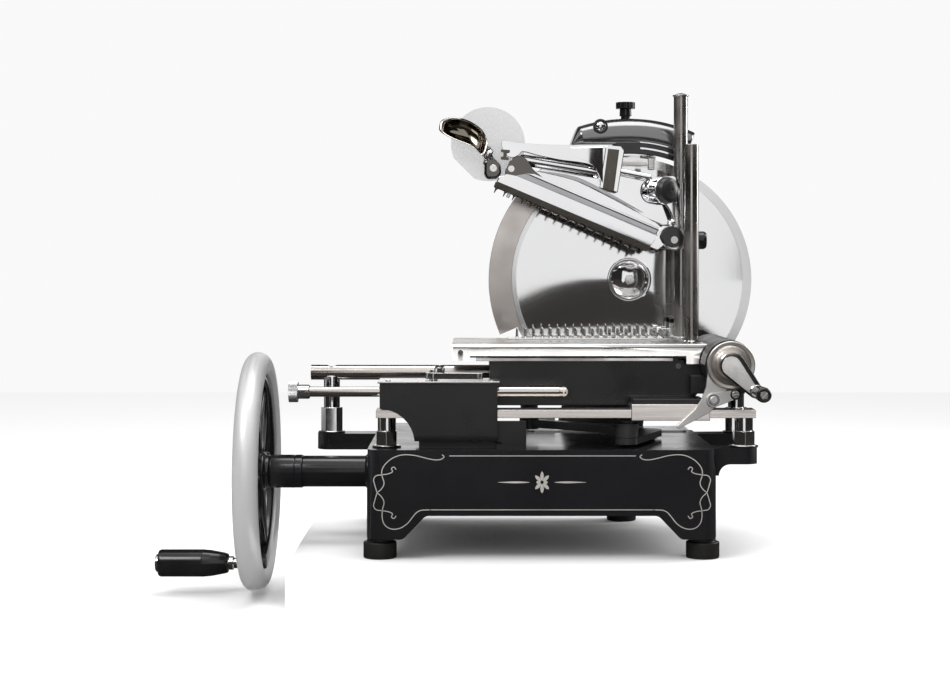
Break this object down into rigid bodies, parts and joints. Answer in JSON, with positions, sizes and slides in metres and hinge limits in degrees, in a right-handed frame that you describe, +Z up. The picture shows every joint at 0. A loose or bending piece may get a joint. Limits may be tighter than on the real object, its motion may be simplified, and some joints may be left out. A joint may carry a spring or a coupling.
{
  "type": "meat slicer",
  "caption": "Hand-cranked flywheel slicer: cast base, spoked flywheel with grip, reciprocating carriage with spiked table and swinging press, vertical circular blade with guard and sharpener.",
  "frame": {"origin": "midway between the two front feet, on the standing plane", "axes": "+X right along the carriage travel, +Y from the table towards the blade, +Z up"},
  "size_m": [0.6305, 0.3602, 0.5195],
  "materials": {
    "black_enamel": "gloss",
    "carriage_black": "semi-gloss",
    "dark_steel": "satin",
    "black_oxide": "satin",
    "foot_rubber": "satin",
    "bronze": "satin",
    "bearing_steel": "polished",
    "nickel": "satin",
    "chrome": "polished",
    "tray_steel": "brushed",
    "blade_steel": "polished",
    "rim_alloy": "polished",
    "wheel_black": "gloss",
    "bakelite": "gloss",
    "clear_shield": "clear",
    "abrasive": "matte"
  },
  "bodies": {
    "frame": {"base_casting": "black_enamel", "base_cover": "dark_steel", "rubber_feet": "foot_rubber", "head_casting": "black_enamel", "head_cover": "black_enamel", "shaft_bushes": "bronze", "bearing_blocks": "dark_steel", "blade_bearings": "bearing_steel", "drive_chain": "dark_steel", "front_rail": "nickel", "rear_rail": "chrome", "front_posts": "chrome", "rear_posts": "chrome", "receiving_tray": "tray_steel", "blade_guard": "chrome", "sharpener_cover": "black_enamel", "sharpener_bracket": "chrome", "thickness_housing": "black_enamel", "scale_plate": "nickel"},
    "flywheel": {"wheel_rim": "rim_alloy", "wheel_spokes": "wheel_black", "wheel_collar": "black_oxide", "drive_shaft": "bearing_steel", "drive_pinions": "dark_steel", "handle_spindle": "bearing_steel"},
    "grip": {"handle_grip": "bakelite"},
    "blade_unit": {"blade": "blade_steel", "blade_cap": "chrome", "blade_shaft": "bearing_steel"},
    "lay_unit": {"lay_shaft": "bearing_steel"},
    "crank": {"crank_shaft": "black_oxide", "crank_gear": "dark_steel"},
    "rod": {"connecting_rod": "black_oxide"},
    "carriage": {"carriage_body": "carriage_black", "carriage_bushes": "bronze", "guide_shoe": "nickel", "feed_drum": "carriage_black"},
    "feed": {"feed_screw": "bearing_steel", "feed_disc": "nickel", "feed_crank": "nickel"},
    "feed_grip": {"feed_knob": "bakelite"},
    "pawl": {"pawl_lever": "nickel"},
    "link": {"pawl_link": "nickel"},
    "table": {"meat_table": "nickel", "spike_plate": "nickel", "table_columns": "chrome", "feed_nut": "bronze"},
    "slider": {"press_slider": "chrome"},
    "lock_knob": {"press_lock_knob": "bakelite"},
    "press": {"press_jaw": "chrome", "jaw_teeth": "dark_steel", "press_arm": "chrome"},
    "clamp": {"clamp_knob": "bakelite"},
    "handle": {"press_handle": "chrome", "hand_shield": "clear_shield"},
    "stop": {"stop_rod": "chrome"},
    "lever": {"lock_lever": "chrome"},
    "sharpener": {"sharpener_knob": "bakelite"},
    "button": {"sharpener_button": "chrome"},
    "stone": {"grinding_stone": "abrasive"}
  },
  "joints": [
    {"name": "flywheel_spin", "type": "hinge", "parent": "frame", "child": "flywheel", "pos_m": [-0.2, 0.1, 0.073], "axis": [1, 0, 0], "continuous": true},
    {"name": "grip_spin", "type": "hinge", "parent": "flywheel", "child": "grip", "pos_m": [-0.355, 0.1, -0.022], "axis": [1, 0, 0], "continuous": true},
    {"name": "crank_spin", "type": "hinge", "parent": "frame", "child": "crank", "pos_m": [0.112, 0.1, 0.1], "axis": [0, 0, 1], "continuous": true},
    {"name": "lay_spin", "type": "hinge", "parent": "frame", "child": "lay_unit", "pos_m": [0.058, 0.19, 0.073], "axis": [0, 1, 0], "continuous": true},
    {"name": "blade_spin", "type": "hinge", "parent": "frame", "child": "blade_unit", "pos_m": [0.103, 0.23, 0.27], "axis": [0, 1, 0], "continuous": true},
    {"name": "carriage_slide", "type": "slide", "parent": "frame", "child": "carriage", "axis": [1, 0, 0], "range_m": [-0.0949, 0.0834]},
    {"name": "rod_swing", "type": "hinge", "parent": "carriage", "child": "rod", "pos_m": [-0.009, 0.1, 0.123], "axis": [0, 0, 1], "range_deg": [-2.6, 86.8]},
    {"name": "feed_turn", "type": "hinge", "parent": "carriage", "child": "feed", "pos_m": [0.1843, 0.06, 0.1888], "axis": [0, 1, 0], "range_deg": [-2880, 420]},
    {"name": "table_slide", "type": "slide", "parent": "carriage", "child": "table", "axis": [0, 1, 0], "range_m": [-0.048, 0.007]},
    {"name": "feed_knob_spin", "type": "hinge", "parent": "feed", "child": "feed_grip", "pos_m": [0.206, -0.055, 0.1645], "axis": [0, 1, 0], "continuous": true},
    {"name": "pawl_swing", "type": "hinge", "parent": "carriage", "child": "pawl", "pos_m": [0.1843, -0.006, 0.1888], "axis": [0, -1, 0], "range_deg": [0, 30], "stiffness_Nm_per_rad": 0.5, "springref_deg": -17.19},
    {"name": "link_swing", "type": "hinge", "parent": "pawl", "child": "link", "pos_m": [0.1675, -0.01, 0.1549], "axis": [0, 1, 0], "range_deg": [0, 12], "stiffness_Nm_per_rad": 0.1, "springref_deg": -17.19},
    {"name": "press_slide", "type": "slide", "parent": "table", "child": "slider", "axis": [0, 0, 1], "range_m": [-0.074, 0.06]},
    {"name": "lock_knob_turn", "type": "hinge", "parent": "slider", "child": "lock_knob", "pos_m": [0.175, 0.165, 0.3124], "axis": [1, 0, 0], "range_deg": [0, 360]},
    {"name": "press_swing", "type": "hinge", "parent": "slider", "child": "press", "pos_m": [0.1417, 0.118, 0.3124], "axis": [0, 1, 0], "range_deg": [-23, 50]},
    {"name": "clamp_knob_turn", "type": "hinge", "parent": "press", "child": "clamp", "pos_m": [0.119, 0.124, 0.3635], "axis": [0.6428, -0.766, 0], "range_deg": [-180, 180]},
    {"name": "handle_swing", "type": "hinge", "parent": "press", "child": "handle", "pos_m": [-0.047, 0.118, 0.386], "axis": [0, 1, 0], "range_deg": [-24, 8]},
    {"name": "stop_slide", "type": "slide", "parent": "frame", "child": "stop", "axis": [1, 0, 0], "range_m": [-0.012, 0.07]},
    {"name": "lever_turn", "type": "hinge", "parent": "frame", "child": "lever", "pos_m": [-0.106, 0.014, 0.175], "axis": [0, 0, 1], "range_deg": [-35, 35]},
    {"name": "sharpener_lift", "type": "slide", "parent": "frame", "child": "sharpener", "axis": [0, 0, 1], "range_m": [0, 0.01]},
    {"name": "button_press", "type": "slide", "parent": "frame", "child": "button", "axis": [0, 1, 0], "range_m": [0, 0.005], "stiffness_N_per_m": 400, "springref_m": -0.003},
    {"name": "stone_spin", "type": "hinge", "parent": "frame", "child": "stone", "pos_m": [0.125, 0.216, 0.397], "axis": [0, 0, 1], "continuous": true}
  ],
  "couplings": [
    {"joint": "crank_spin", "follows": "flywheel_spin", "ratio": 0.5},
    {"joint": "lay_spin", "follows": "flywheel_spin", "ratio": 0.73684},
    {"joint": "blade_spin", "follows": "flywheel_spin", "ratio": 1.0316},
    {"joint": "table_slide", "follows": "feed_turn", "m_per_rad": 0.00095493}
  ]
}
